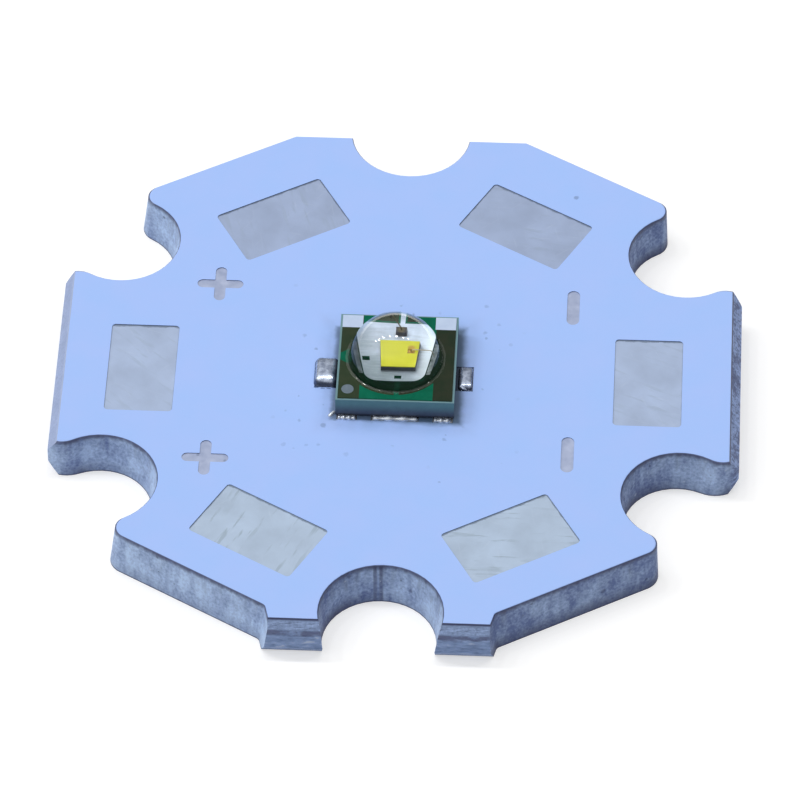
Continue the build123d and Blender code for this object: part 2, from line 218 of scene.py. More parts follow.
def finish_surface(tree, shader, colour, roughness=None, height=None, relief=0.0):
    """Feeds the shader its colour, and roughness and relief where they vary; relief is in mm."""
    feed(tree, colour, shader.inputs["Base Color"])
    if roughness is not None:
        feed(tree, roughness, shader.inputs["Roughness"])
    if height is not None:
        bump = add_node(tree, "ShaderNodeBump", {"Height": height, "Distance": relief * MM})
        feed(tree, bump.outputs["Normal"], shader.inputs["Normal"])


def dress(material, *names):
    """Gives CAD pieces a material."""
    for name in names:
        slots = nodes[name].data.materials
        slots.clear()
        slots.append(material)
    print(material.name, "on", ", ".join(names))


def start_group(name, inputs, outputs):
    """A new shader node group; inputs and outputs are kinds by name."""
    group = bpy.data.node_groups.new(name, "ShaderNodeTree")
    for way, sockets in (("INPUT", inputs), ("OUTPUT", outputs)):
        for title, kind in sockets.items():
            group.interface.new_socket(title, in_out=way, socket_type=f"NodeSocket{kind}")
    print("group", name, "reads", list(inputs), "and gives", list(outputs))
    return (group, group.nodes.new("NodeGroupInput").outputs,
            group.nodes.new("NodeGroupOutput").inputs)


def use_group(tree, group, *values):
    """Places a node group in a tree; the values go to its inputs in their order."""
    node = tree.nodes.new("ShaderNodeGroup")
    node.node_tree = group
    for value, socket in zip(values, node.inputs):
        feed(tree, value, socket)
    return node.outputs


# %% [markdown]
# ## Effects that several finishes share
# Lacquer, tin, aluminium and ceramic all show uneven tone, fine marks and specks of dirt. Each of
# these could be drawn again in every material. A node group is built once instead, and every
# material sets its own scale and amount.
#
# The first effect is mottle: soft cloudy patches, the way a lacquer or a plated surface varies.
# Its shade lies round a half, and the contrast says how far it swings.

# %% Mottle
def build_mottle():
    group, entry, result = start_group(
        "mottle", {"Vector": "Vector", "Patches per mm": "Float", "Detail": "Float",
                   "Contrast": "Float"}, {"Shade": "Float"})
    noise = add_node(group, "ShaderNodeTexNoise",
                     {"Vector": entry["Vector"], "Scale": entry["Patches per mm"],
                      "Detail": entry["Detail"], "Roughness": 0.55})
    centred = math_node(group, "SUBTRACT", noise.outputs["Fac"], 0.5)
    shade = clamp(group, linear(group, centred, entry["Contrast"], 0.5))
    feed(group, shade, result["Shade"])
    return group


mottle = build_mottle()


def clouds(tree, place, patches_per_mm, detail, contrast):
    """Mottle at a place; detail is how many finer layers of noise lie on the first."""
    return use_group(tree, mottle, place, patches_per_mm, detail, contrast)["Shade"]


# %% [markdown]
# Scratches and wipe marks are long and thin. Noise that is stretched along one direction and cut
# at a threshold gives them, and three layers at different angles look like handling. More amount
# lowers the threshold, so more of the noise is over it.

# %% Scratches
layer_turns = (0.35, 1.1, 2.4)
threshold_at_none, threshold_drop = 0.74, -0.22
line_sharpness = 8.0


def build_scratches():
    group, entry, result = start_group(
        "scratches", {"Vector": "Vector", "Lines per mm": "Float", "Length": "Float",
                      "Amount": "Float"}, {"Lines": "Float"})
    squeeze = math_node(group, "DIVIDE", 1.0, entry["Length"])
    along = add_node(group, "ShaderNodeCombineXYZ", {"X": squeeze, "Y": 1.0, "Z": 1.0}).outputs[0]
    threshold = linear(group, entry["Amount"], threshold_drop, threshold_at_none)
    total = 0.0
    for angle in layer_turns:
        turned = turn_about_z(group, entry["Vector"], angle)
        noise = add_node(group, "ShaderNodeTexNoise",
                         {"Vector": vector_node(group, "MULTIPLY", turned, along),
                          "Scale": entry["Lines per mm"], "Detail": 2.0})
        over = math_node(group, "SUBTRACT", noise.outputs["Fac"], threshold)
        line = clamp(group, times(group, over, line_sharpness))
        total = math_node(group, "MAXIMUM", total, line)
    feed(group, total, result["Lines"])
    return group


scratches = build_scratches()

# %% [markdown]
# Specks of dried flux and dust are small dots, each a different size. A Voronoi texture gives one
# distance per cell, and a random value per cell decides which cells hold a speck. A little noise
# in the place makes each outline ragged.

# %% Specks
raggedness = (0.09, 0.09, 0.09)
smallest_share, share_range = 0.25, 0.9
speck_sharpness = 2.5


def build_specks():
    group, entry, result = start_group(
        "specks", {"Vector": "Vector", "Cells per mm": "Float", "Share": "Float", "Size": "Float"},
        {"Dots": "Float"})
    wobble = add_node(group, "ShaderNodeTexNoise", {"Vector": entry["Vector"], "Scale": 9.0})
    shifted = vector_node(group, "MULTIPLY_ADD", wobble.outputs["Color"], raggedness,
                          entry["Vector"])
    cells = add_node(group, "ShaderNodeTexVoronoi",
                     {"Vector": shifted, "Scale": entry["Cells per mm"]}).outputs
    chance = add_node(group, "ShaderNodeSeparateColor", {"Color": cells["Color"]}).outputs
    holds = math_node(group, "LESS_THAN", chance["Red"], entry["Share"])
    radius = times(group, entry["Size"],
                   linear(group, chance["Green"], share_range, smallest_share))
    share = math_node(group, "DIVIDE", cells["Distance"], radius)
    inside = math_node(group, "SUBTRACT", 1.0, share)
    soft = clamp(group, times(group, inside, speck_sharpness))
    feed(group, times(group, soft, holds), result["Dots"])
    return group


specks = build_specks()


def dots_of(tree, place, cells_per_mm, share, size):
    """Specks at a place; share is how many cells hold one, and size is against a cell's."""
    return use_group(tree, specks, place, cells_per_mm, share, size)["Dots"]


# %% [markdown]
# ## The board's edge
# The edge runs through lacquer, insulation and aluminium, and the punch smeared them into one
# wall. Each layer could have its own pattern, but the marks wouldn't meet where the layers do. So
# one group draws the whole wall, and all three layers use it. It has three parts, and each is a
# function of its own.
#
# The first is the punched wall: slate grey, mottled, with marks that the punch dragged down it.
# Walls that face left are painted lighter and walls that face right painted darker, most of all at
# the foot: painted shade that goes with the sky, which is brighter on the left. Dark streaks hang
# from the top, under a dark line. A pair of vertical lines in the front notch is a mark of the
# tool, and small chips and painted glints are strewn over all of it.

# %% The punched wall
core_low, core_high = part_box("base_plate")
snap_x, snap_y = core_high.x / MM, core_high.y / MM
mask_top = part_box("solder_mask")[1].z / MM
punch_stretch = (1, 1, 0.16)
wall_dark, wall_light = (0.12, 0.18, 0.4), (0.54, 0.71, 1.0)
# The foot colour is painted shade.
foot_shade_colour, streak_colour = (0.05, 0.065, 0.16), (0.05, 0.07, 0.16)
line_colour = (0.05, 0.06, 0.15)
mark_colour, chip_colour, glint_colour = (0.04, 0.05, 0.13), (0.07, 0.09, 0.17), (0.6, 0.7, 0.86)
tool_mark_x, tool_mark_half_gap, notch_front_y = -0.2, 0.085, -5.0
glint_shift = (3.3, 1.7, 0.4)


def punched_wall(group, place, facing, depth):
    """The wall's colour, and patterns for the other parts; depth is in mm below the top."""
    across = axes_of(group, place)
    tall = stretch(group, place, punch_stretch)
    cloud = clouds(group, place, 1.6, 7.0, 2.6)
    grain = clouds(group, place, 11.0, 5.0, 2.6)
    drag = clouds(group, tall, 4.5, 5.0, 2.8)
    # The tone is a bit over a third grain, as much cloud, and the rest drag marks.
    tone = linear(group, grain, 0.36, times(group, cloud, 0.36))
    tone = linear(group, drag, 0.28, tone)
    # It gets more contrast about its middle, and painted shade changes it with the way the wall
    # faces.
    contrasted = linear(group, tone, 1.35, -0.18)
    lit = linear(group, facing["X"], -0.36, contrasted)
    colour = mix_colours(group, lit, wall_dark, wall_light)

    # Painted shade darkens the foot from 0.8 mm down, most where the wall faces right. Streaks
    # fade out 1.1 mm down, and the power makes them few. The top line is 0.16 mm wide at most, and
    # its lower edge follows the drag marks.
    low_down = ramp_between(group, depth, 0.8, 1.42)
    shade_facing_right = ramp_between(group, facing["X"], -0.3, 0.9, 0.05, 0.75)
    foot = times(group, low_down, linear(group, cloud, 0.4, shade_facing_right))
    colour = paint(group, colour, foot_shade_colour, foot)
    hang = math_node(group, "POWER", clouds(group, tall, 2.6, 3.0, 3.0), 3.0)
    streak = times(group, times(group, hang, drag), ramp_between(group, depth, 1.1, 0.1))
    colour = paint(group, colour, streak_colour, streak, 0.75)
    top_line = ramp_between(group, linear(group, drag, -0.09, depth), 0.16, -0.03)
    colour = paint(group, colour, line_colour, top_line, 0.9)

    # The tool's mark is two lines, each the same way from the middle, in the front notch only.
    from_mark = math_node(group, "SUBTRACT", across["X"], tool_mark_x)
    from_mark = math_node(group, "ABSOLUTE", from_mark)
    from_line = math_node(group, "SUBTRACT", from_mark, tool_mark_half_gap)
    lines = ramp_between(group, math_node(group, "ABSOLUTE", from_line), 0.08, 0.02)
    in_notch = ramp_between(group, across["Y"], notch_front_y, notch_front_y - 0.5)
    mark = times(group, lines, in_notch)
    mark = times(group, mark, linear(group, drag, 0.5, 0.3))
    colour = paint(group, colour, mark_colour, mark)
    chips = dots_of(group, place, 4.0, 0.16, 0.3)
    colour = paint(group, colour, chip_colour, chips, 0.5)
    # Painted glints: bright dots of light laid into the colour.
    shifted = vector_node(group, "ADD", place, glint_shift)
    colour = paint(group, colour, glint_colour, dots_of(group, shifted, 5.0, 0.12, 0.22), 0.4)
    return colour, cloud, grain, tone, chips


print("the wall is", round(mask_top, 3), "mm high, and snapped at x", round(snap_x, 2), "mm")

# %% [markdown]
# The second part is on the left and right edges. The board was scored there before it was snapped
# off its panel, and the score's slope is smooth and catches the sky. The outline alone would also
# colour the notch walls beside it, so the slope's normal limits it too. The left slope is painted
# lighter as lit and the right one darker as shaded, and the right one has pits and a dark border.

# %% The scored slopes
slope_reach, border_width = 0.3, 0.02
# Lit and shaded copies of one slope: painted light on the left, painted shade on the right.
lit_slope_dark, lit_slope_light = (0.3, 0.38, 0.6), (0.42, 0.52, 0.8)
shaded_slope_dark, shaded_slope_light = (0.08, 0.12, 0.32), (0.44, 0.6, 0.98)
pit_colour, border_colour = (0.04, 0.05, 0.14), (0.035, 0.045, 0.12)


def faces_along(group, number):
    """A mask of where a surface faces along an axis, either way."""
    return ramp_between(group, math_node(group, "ABSOLUTE", number), 0.4, 0.6)


def scored_slopes(group, colour, place, facing, cloud, grain):
    """Lays the two slopes over the wall's colour, the left one painted lit, the right one shaded.
    """
    x = axes_of(group, place)["X"]
    start = snap_x - slope_reach
    side = ramp_between(group, math_node(group, "ABSOLUTE", x), start - 0.01, start + 0.01)
    side = times(group, side, faces_along(group, facing["X"]))
    tone = linear(group, cloud, 0.5, times(group, grain, 0.5))
    lit_left_slope = mix_colours(group, tone, lit_slope_dark, lit_slope_light)
    shaded_right_slope = mix_colours(group, tone, shaded_slope_dark, shaded_slope_light)
    pits = ramp_between(group, times(group, grain, cloud), 0.3, 0.1)
    shaded_right_slope = paint(group, shaded_right_slope, pit_colour, pits, 0.5)
    border = ramp_between(group, x, start + 3 * border_width, start + border_width)
    shaded_right_slope = paint(group, shaded_right_slope, border_colour, border)
    on_left = math_node(group, "LESS_THAN", x, 0.0)
    return paint(group, colour, mix_colours(group, on_left, shaded_right_slope, lit_left_slope), side)


print("the slopes start at x in mm", round(snap_x - slope_reach, 2))

# %% [markdown]
# The third part is on the front and back edges, where the board was snapped too. Above is the
# score's smooth face under a dark rim, and below it the rough web of metal that broke: stretched
# along the edge, with a dark band where it tore, and bright flecks under that.

# %% The snapped ends
end_reach = 0.2
upper_dark, upper_light = (0.25, 0.34, 0.57), (0.37, 0.5, 0.8)
web_dark, web_light = (0.17, 0.26, 0.5), (0.4, 0.55, 0.9)
band_colour, fleck_colour = (0.09, 0.1, 0.22), (0.6, 0.68, 0.84)
rim_colour = (0.05, 0.055, 0.13)
web_stretch = (0.5, 0.5, 1.6)


def snapped_ends(group, colour, place, facing, depth, cloud, grain):
    """Lays the two ends over the wall's colour; gives back how rough they are, too."""
    y = axes_of(group, place)["Y"]
    start = snap_y - end_reach
    end = ramp_between(group, math_node(group, "ABSOLUTE", y), start, start + 0.03)
    end = times(group, end, faces_along(group, facing["Y"]))
    # The web starts 0.28 mm down, the tear is from 0.34 to 0.68 mm, and flecks come below it.
    rough = clouds(group, stretch(group, place, web_stretch), 5.0, 6.0, 2.6)
    ragged = linear(group, rough, 0.12, depth)
    upper = mix_colours(group, grain, upper_dark, upper_light)
    web = mix_colours(group, rough, web_dark, web_light)
    band = times(group, ramp_between(group, ragged, 0.34, 0.46),
                 ramp_between(group, ragged, 0.68, 0.54))
    band = times(group, band, ramp_between(group, cloud, 0.2, 0.55))
    web = paint(group, web, band_colour, band, 0.75)
    flecks = times(group, ramp_between(group, rough, 0.72, 0.95),
                   ramp_between(group, ragged, 0.62, 0.75))
    web = paint(group, web, fleck_colour, flecks, 0.7)
    snapped = mix_colours(group, ramp_between(group, depth, 0.28, 0.36), upper, web)
    snapped = paint(group, snapped, rim_colour, ramp_between(group, depth, 0.1, 0.03))
    return paint(group, colour, snapped, end), times(group, rough, end)


print("the snapped ends start at y in mm", round(snap_y - end_reach, 2))

# %% [markdown]
# The group puts the three together. A thin line of painted shadow goes round the foot of the whole
# edge, and the relief is the wall's tone, with sunken chips and the rough web on top.

# %% The whole edge
foot_shadow_colour = (0.03, 0.035, 0.11)


def build_board_edge():
    group, entry, result = start_group("board_edge", {"Vector": "Vector", "Facing": "Vector"},
                                       {"Colour": "Color", "Relief": "Float"})
    place, facing = entry["Vector"], axes_of(group, entry["Facing"])
    depth = math_node(group, "SUBTRACT", mask_top, axes_of(group, place)["Z"])
    colour, cloud, grain, tone, chips = punched_wall(group, place, facing, depth)
    colour = scored_slopes(group, colour, place, facing, cloud, grain)
    colour, web_relief = snapped_ends(group, colour, place, facing, depth, cloud, grain)
    # A thin line of painted shadow round the foot of the edge.
    painted_foot_shadow = ramp_between(group, depth, mask_top - 0.06, mask_top - 0.015)
    feed(group, paint(group, colour, foot_shadow_colour, painted_foot_shadow, 0.8), result["Colour"])
    relief = math_node(group, "SUBTRACT", tone, times(group, chips, 0.8))
    feed(group, math_node(group, "ADD", relief, times(group, web_relief, 2.5)), result["Relief"])
    return group


board_edge = build_board_edge()

# %% [markdown]
# Round the LED's foot the lacquer and the solder get a dark seam of painted shade. The distance to
# the ceramic's outline, outwards from its sides, says where: lacquer and solder both read it.

# %% Beside the LED
ceramic_low, ceramic_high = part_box("ceramic_substrate")


def build_beside_led():
    group, entry, result = start_group("beside_led", {"Vector": "Vector"}, {"Distance": "Float"})
    centre = (ceramic_low + ceramic_high) / 2 / MM
    half = (ceramic_high - ceramic_low) / 2 / MM
    offset = vector_node(group, "SUBTRACT", entry["Vector"], centre)
    out = axes_of(group, vector_node(group, "ABSOLUTE", offset))
    out_x = math_node(group, "SUBTRACT", out["X"], half.x)
    out_y = math_node(group, "SUBTRACT", out["Y"], half.y)
    feed(group, math_node(group, "MAXIMUM", out_x, out_y), result["Distance"])
    return group


beside_led = build_beside_led()

# %% [markdown]
# ## The white lacquer
# The board's face is a smooth solder mask. Under the blue studio light it reads as a pale
# periwinkle, so that is its colour here. It is even, with faint clouds. A dark seam and a grey
# band of painted shade lie round the LED, and small specks of dried flux lie beyond them. The
# painted seam is wider and darker on the right. Below its top the lacquer's cut edge shows: the
# board's edge, and round the two front pads a plain grey wall.
#
# These marks could be painted by hand on a picture. Masks made from the distance to the package
# stay sharp from close up, and follow the package if it moves.

# %% White lacquer
lacquer_colours = (0.37, 0.558, 0.99), (0.408, 0.558, 0.985)
# The stain and seam colours are painted shade round the LED.
grey_shade_colour, contact_shade_colour = (0.16, 0.22, 0.36), (0.055, 0.1, 0.16)
flux_colour, dust_colour, window_colour = (0.14, 0.21, 0.34), (0.12, 0.17, 0.3), (0.27, 0.34, 0.47)
contact_shade_width_left, contact_shade_width_gain = 0.19, 0.13
window_radius = 2.2


def stained_lacquer(tree, place):
    """The colour of the lacquer's face, with painted shade round the LED, and a mask of the flux
    specks on it.
    """
    colour = mix_colours(tree, clouds(tree, place, 0.9, 4.0, 1.6), *lacquer_colours)
    # The painted grey shade reaches 0.85 mm out and the specks 2.4 mm, and patches break up both
    # painted shades.
    distance = use_group(tree, beside_led, place)["Distance"]
    patchy = clouds(tree, place, 2.2, 5.0, 2.4)
    grey_shade = times(tree, ramp_between(tree, distance, 0.85, 0.1), linear(tree, patchy, 0.2, 0.08))
    colour = paint(tree, colour, grey_shade_colour, grey_shade)
    on_right = ramp_between(tree, axes_of(tree, place)["X"], -1.5, 1.5)
    contact_shade_width = linear(tree, on_right, contact_shade_width_gain, contact_shade_width_left)
    into_contact_shade = math_node(tree, "DIVIDE", linear(tree, patchy, -0.08, distance), contact_shade_width)
    contact_shade = times(tree, ramp_between(tree, into_contact_shade, 1.0, 0.1), linear(tree, on_right, 0.15, 0.7))
    colour = paint(tree, colour, contact_shade_colour, contact_shade)
    near = ramp_between(tree, distance, 2.4, 0.3)
    flux = times(tree, dots_of(tree, place, 2.8, 0.42, 0.27), near)
    colour = paint(tree, colour, flux_colour, flux, 0.45)
    return paint(tree, colour, dust_colour, dots_of(tree, place, 0.8, 0.16, 0.07), 0.5), flux


def build_lacquer():
    material, tree, shader = start_material("white_lacquer", Roughness=0.42,
                                            Specular_IOR_Level=0.35)
    place = place_in_mm(tree)
    colour, flux = stained_lacquer(tree, place)
    cut_edge = ramp_between(tree, axes_of(tree, place)["Z"], mask_top - 0.004, mask_top - 0.016)
    edge_colour = use_group(tree, board_edge, place, facing_of(tree))["Colour"]
    for side in ("left", "right"):
        low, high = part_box(f"wire_pad_front_{side}")
        from_pad = vector_node(tree, "LENGTH", place_in_mm(tree, centre=(low + high) / 2 / MM))
        window = ramp_between(tree, from_pad, window_radius, window_radius - 0.05)
        edge_colour = paint(tree, edge_colour, window_colour, window)
    height = math_node(tree, "ADD", clouds(tree, place, 7.0, 2.0, 1.0), times(tree, flux, 3.0))
    finish_surface(tree, shader, paint(tree, colour, edge_colour, cut_edge), height=height,
                   relief=0.0015)
    return material


dress(build_lacquer(), "solder_mask")

# %% [markdown]
# ## Insulation and aluminium
# Both layers show nothing but their edge, so the shared group gives them colour and relief. Bare
# aluminium would be all metal, but this wall is scuffed and greasy and mirrors little, so only a
# small part of it is.

# %% Insulation and aluminium
def build_edge_finish(name, metallic, roughness):
    material, tree, shader = start_material(name, Metallic=metallic, Roughness=roughness)
    edge = use_group(tree, board_edge, place_in_mm(tree), facing_of(tree))
    finish_surface(tree, shader, edge["Colour"], height=edge["Relief"], relief=0.03)
    return material


dress(build_edge_finish("punched_aluminium", metallic=0.3, roughness=0.55), "base_plate")
dress(build_edge_finish("insulation", metallic=0.2, roughness=0.6), "dielectric_layer")

# %% [markdown]
# ## Tinned pads and marks
# The pads are copper with a thin coat of tin. It is satin, with wipe marks and smudges, and each
# pad was wiped its own way. A ragged dark line of painted shadow runs along the edges of each
# window: strong at the back, where the wall shades the tin, and faint at the front.

# %% The dark line in a pad's window
back_edge, side_edge, front_edge = 0.95, 0.45, 0.2
facing_limit = 0.3
line_width = 0.07


def edge_shadow(tree, local, half_width, half_length, turn):
    axes = axes_of(tree, local)
    ragged = clouds(tree, local, 4.0, 5.0, 2.4)
    total = 0.0
    edges = (("X", 1, half_width, 0.0), ("X", -1, half_width, math.pi),
             ("Y", 1, half_length, math.pi / 2), ("Y", -1, half_length, -math.pi / 2))
    for axis, sign, half, heading in edges:
        to_back = math.sin(turn + heading)
        strength = (back_edge if to_back > facing_limit
                    else side_edge if to_back > -facing_limit else front_edge)
        width = line_width * max(to_back, facing_limit)
        inside = linear(tree, axes[axis], -sign, half)
        line = ramp_between(tree, linear(tree, ragged, -width, inside), width * 0.7, 0.0)
        total = math_node(tree, "MAXIMUM", total, times(tree, line, strength))
    return total


right_low, right_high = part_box("wire_pad_right")
pad_half_length = (right_high.y - right_low.y) / 2 / MM
side_half_width = (right_high.x - right_low.x) / 2 / MM
slant_half_width = side_half_width + 0.06
print("a pad is", round(2 * side_half_width, 2), "by", round(2 * pad_half_length, 2), "mm")

# %% [markdown]
# One function makes all six pads. It works in the pad's own coordinates, which lie along its
# sides, so by itself it would give the same pad six times. A table therefore gives each row of
# pads its tone and each pad its way of wiping, and the strokes show most on the front pads.

# %% Tinned pads
pad_turns = {"right": 0, "back_right": 60, "back_left": 120, "left": 180, "front_left": 240,
             "front_right": 300}
wipe_turns = {0: 0.4, 60: 1.2, 120: 0.2, 180: 0.7, 240: -0.1, 300: -1.05}
pad_tones = {"back": (0.38, 0.465, 0.66), "side": (0.43, 0.525, 0.72),
             "front": (0.455, 0.56, 0.71)}
row_limit, front_row = 3.0, 6.3
stroke_colour, scratch_colour = (0.25, 0.32, 0.36), (0.62, 0.7, 0.84)
shadow_colour = (0.13, 0.17, 0.24)
stroke_stretch = (0.45, 3.2, 1.0)


def build_pad(name, turn_degrees):
    """Mottled tin, dark strokes, fine scratches and the painted shadow line, one laid over the
    other.
    """
    material, tree, shader = start_material(f"tin_{name}", Metallic=0.5)
    low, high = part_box(name)
    middle = (low + high) / 2 / MM
    turn = math.radians(turn_degrees)
    local = place_in_mm(tree, turn=-turn, centre=middle)
    half_width = slant_half_width if turn_degrees % 180 else side_half_width
    front = max(0.0, -middle.y / front_row)
    row = "front" if middle.y < -row_limit else "back" if middle.y > row_limit else "side"

    smudge = clouds(tree, local, 0.8, 5.0, 1.8)
    darker, lighter = ([factor * part for part in pad_tones[row]] for factor in (0.86, 1.1))
    colour = mix_colours(tree, smudge, darker, lighter)
    wiped = turn_about_z(tree, local, wipe_turns[turn_degrees])
    strokes = clouds(tree, vector_node(tree, "MULTIPLY", wiped, stroke_stretch), 1.5, 4.0, 3.6)
    strokes = ramp_between(tree, strokes, 0.62, 1.0)
    patch = clouds(tree, local, 0.7, 1.0, 4.5)
    strokes = times(tree, strokes, times(tree, patch, 0.2 + 0.3 * front))
    colour = paint(tree, colour, stroke_colour, strokes)
    fine = use_group(tree, scratches, local, 9.0, 12.0, 0.5)["Lines"]
    colour = paint(tree, colour, scratch_colour, fine, 0.15)
    # The dark line in the window is painted shadow, strongest at the back edge.
    line = edge_shadow(tree, local, half_width, pad_half_length, turn)
    colour = paint(tree, colour, shadow_colour, line, 0.75)
    finish_surface(tree, shader, colour, linear(tree, smudge, 0.2, 0.36),
                   math_node(tree, "SUBTRACT", smudge, strokes), 0.004)
    return material


for side, turn_degrees in pad_turns.items():
    dress(build_pad(f"wire_pad_{side}", turn_degrees), f"wire_pad_{side}")

# %% [markdown]
# The plus and minus marks are the same tin in small windows. They are duller than the pads, with
# a few dark specks. The copper lands lie under the lacquer and the LED, and have a plain finish.

# %% Marks and copper
mark_dark, mark_light, mark_speck = (0.31, 0.37, 0.55), (0.5, 0.56, 0.74), (0.16, 0.2, 0.3)
copper_dark, copper_light = (0.6, 0.27, 0.14), (0.8, 0.42, 0.26)


def build_mark_tin():
    material, tree, shader = start_material("tin_marks", Metallic=0.4)
    place = place_in_mm(tree)
    shade = clouds(tree, place, 3.0, 4.0, 1.8)
    colour = mix_colours(tree, shade, mark_dark, mark_light)
    colour = paint(tree, colour, mark_speck, dots_of(tree, place, 5.0, 0.12, 0.3), 0.5)
    finish_surface(tree, shader, colour, linear(tree, shade, 0.2, 0.36), shade, 0.004)
    return material


def build_copper():
    material, tree, shader = start_material("copper_foil", Metallic=1.0)
    shade = clouds(tree, place_in_mm(tree), 3.0, 3.0, 1.0)
    colour = mix_colours(tree, shade, copper_dark, copper_light)
    finish_surface(tree, shader, colour, linear(tree, shade, 0.2, 0.3))
    return material


dress(build_mark_tin(),
      *[f"{sign}_mark_{row}" for sign in ("plus", "minus") for row in ("back", "front")])
dress(build_copper(), *[f"copper_land_{side}" for side in ("left", "middle", "right")])

# %% [markdown]
# ## The LED package
# A grey ceramic square carries everything. Its face has a thin bare rim, dark olive traces, green
# lacquer between them, two white rectangles and a round grey mark. Each of these is its own CAD
# piece, so each only needs its finish.
#
# Round the foot of the dome the face is nearly black, because little light gets in there. The dome
# could darken it, but then it would do so from behind, too. So the traces and the lacquer have a
# second, darker pair of colours within that ring, which ends behind the reflector.

# %% Traces and lacquer
lens_low, lens_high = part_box("led_lens")
lens_middle_x = (lens_low.x + lens_high.x) / 2 / MM
lens_middle_y = (lens_low.y + lens_high.y) / 2 / MM
face_level = lens_low.z / MM
lens_middle = (lens_middle_x, lens_middle_y, face_level)
ring_radius = 1.41
ring_end_y = 0.86


def build_foil_finish(name, outer, inner, roughness):
    """Foil or lacquer with little sheen; outer and inner are two colours each."""
    material, tree, shader = start_material(name, Specular_IOR_Level=0.06)
    place = place_in_mm(tree)
    shade = clouds(tree, place, 2.4, 5.0, 2.2)
    fine = clouds(tree, place, 9.0, 3.0, 2.2)
    from_lens = place_in_mm(tree, centre=lens_middle)
    ragged = linear(tree, fine, 0.05, vector_node(tree, "LENGTH", from_lens))
    ring = times(tree, ramp_between(tree, ragged, ring_radius + 0.04, ring_radius - 0.03),
                 ramp_between(tree, axes_of(tree, from_lens)["Y"], ring_end_y, ring_end_y - 0.16))
    colour = mix_colours(tree, ring, mix_colours(tree, shade, *outer),
                         mix_colours(tree, fine, *inner))
    finish_surface(tree, shader, colour, linear(tree, shade, 0.14, roughness - 0.07), fine, 0.002)
    return material


foil_in_ring = (0.001, 0.007, 0.003), (0.003, 0.018, 0.009)
lacquer_in_ring = (0.001, 0.012, 0.006), (0.004, 0.035, 0.02)
foils = (
    ("olive_trace", "trace_left", ((0.024, 0.045, 0.024), (0.038, 0.052, 0.028)),
     foil_in_ring, 0.4),
    ("dark_trace", "trace_right", ((0.016, 0.032, 0.018), (0.03, 0.036, 0.022)),
     foil_in_ring, 0.4),
    ("green_lacquer", "face_lacquer", ((0.001, 0.1, 0.055), (0.004, 0.15, 0.085)),
     lacquer_in_ring, 0.35),
)
for finish, piece, outer, inner, roughness in foils:
    dress(build_foil_finish(finish, outer, inner, roughness), piece)

# %% [markdown]
# The print, the plated metal and the bond lands only vary in tone: two colours, one mottle and a
# little relief. One function makes them all, and a table says what each is given.

# %% Print, plated metal and lands
def build_plain(name, dark, light, roughness, patches, metallic=0.0, contrast=1.2, relief=0.002):
    """patches is how many there are per millimetre, and relief is in millimetres."""
    material, tree, shader = start_material(name, Metallic=metallic)
    shade = clouds(tree, place_in_mm(tree), patches, 4.0, contrast)
    finish_surface(tree, shader, mix_colours(tree, shade, dark, light),
                   linear(tree, shade, 0.12, roughness - 0.06), shade, relief)
    return material


dress(build_plain("white_print", (0.45, 0.56, 0.77), (0.56, 0.67, 0.86), 0.5, patches=4.0),
      "corner_mark_left", "corner_mark_right")
dress(build_plain("plated_metal", (0.2, 0.24, 0.3), (0.3, 0.35, 0.42), 0.4, metallic=0.6,
                  patches=5.0),
      "terminal_left", "terminal_middle", "terminal_right", "via_left", "via_right")
dress(build_plain("round_print", (0.085, 0.125, 0.165), (0.14, 0.19, 0.24), 0.5, patches=6.0),
      "round_mark")
land_values = dict(roughness=0.6, metallic=0.2, patches=6.0, contrast=2.8, relief=0.004)
# The left land is the same silver as the right one, painted darker as shade.
dress(build_plain("shaded_silver", (0.01, 0.018, 0.018), (0.09, 0.12, 0.13), **land_values),
      "bond_land_left")
dress(build_plain("frosted_silver", (0.03, 0.045, 0.04), (0.24, 0.29, 0.3), **land_values),
      "bond_land_right")

# %% [markdown]
# The ceramic's walls are teal near the top and slate blue below, painted there as shade and as the
# board's colour reflected on them. A light rim goes round the top and a painted shadow round the
# foot. Faces with materials of their own would have hard borders, so ramps over the height blend
# one into the next.

# %% Ceramic
upper_ceramic = (0.085, 0.21, 0.22), (0.125, 0.27, 0.27)
shaded_lower_ceramic = (0.05, 0.07, 0.11), (0.08, 0.11, 0.165)
ceramic_rim, ceramic_foot_shadow = (0.14, 0.27, 0.3), (0.015, 0.02, 0.04)


def build_ceramic():
    material, tree, shader = start_material("grey_ceramic", Roughness=0.45)
    place = place_in_mm(tree)
    shade = clouds(tree, place, 5.0, 4.0, 1.4)
    level = axes_of(tree, place)["Z"]
    foot, top = ceramic_low.z / MM, ceramic_high.z / MM
    rise = ramp_between(tree, level, foot + 0.1, top - 0.1)
    # The slate blue below is painted shade and a painted reflection of the board; the foot gets a
    # painted shadow.
    colour = mix_colours(tree, rise, mix_colours(tree, shade, *shaded_lower_ceramic),
                         mix_colours(tree, shade, *upper_ceramic))
    colour = paint(tree, colour, ceramic_rim, ramp_between(tree, level, top - 0.03, top - 0.005))
    colour = paint(tree, colour, ceramic_foot_shadow, ramp_between(tree, level, foot + 0.12, foot))
    finish_surface(tree, shader, colour, height=shade, relief=0.003)
    return material


dress(build_ceramic(), "ceramic_substrate")

# %% [markdown]
# Under the dome the silver reflector is the brightest thing on the board. It is plated, with a
# brushed grain. A mirror would show the lamps as hard dots, so it is mostly rough. It is duller
# towards the front left, has a painted highlight at its right end, and is tarnished blue at the
# back.

# %% Reflector
silver_dark, silver_light = (0.17, 0.205, 0.25), (0.66, 0.76, 0.9)
dull_colour, painted_highlight_colour = (0.28, 0.36, 0.38), (0.82, 0.92, 0.97)
tarnish_colour = (0.3, 0.37, 0.52)


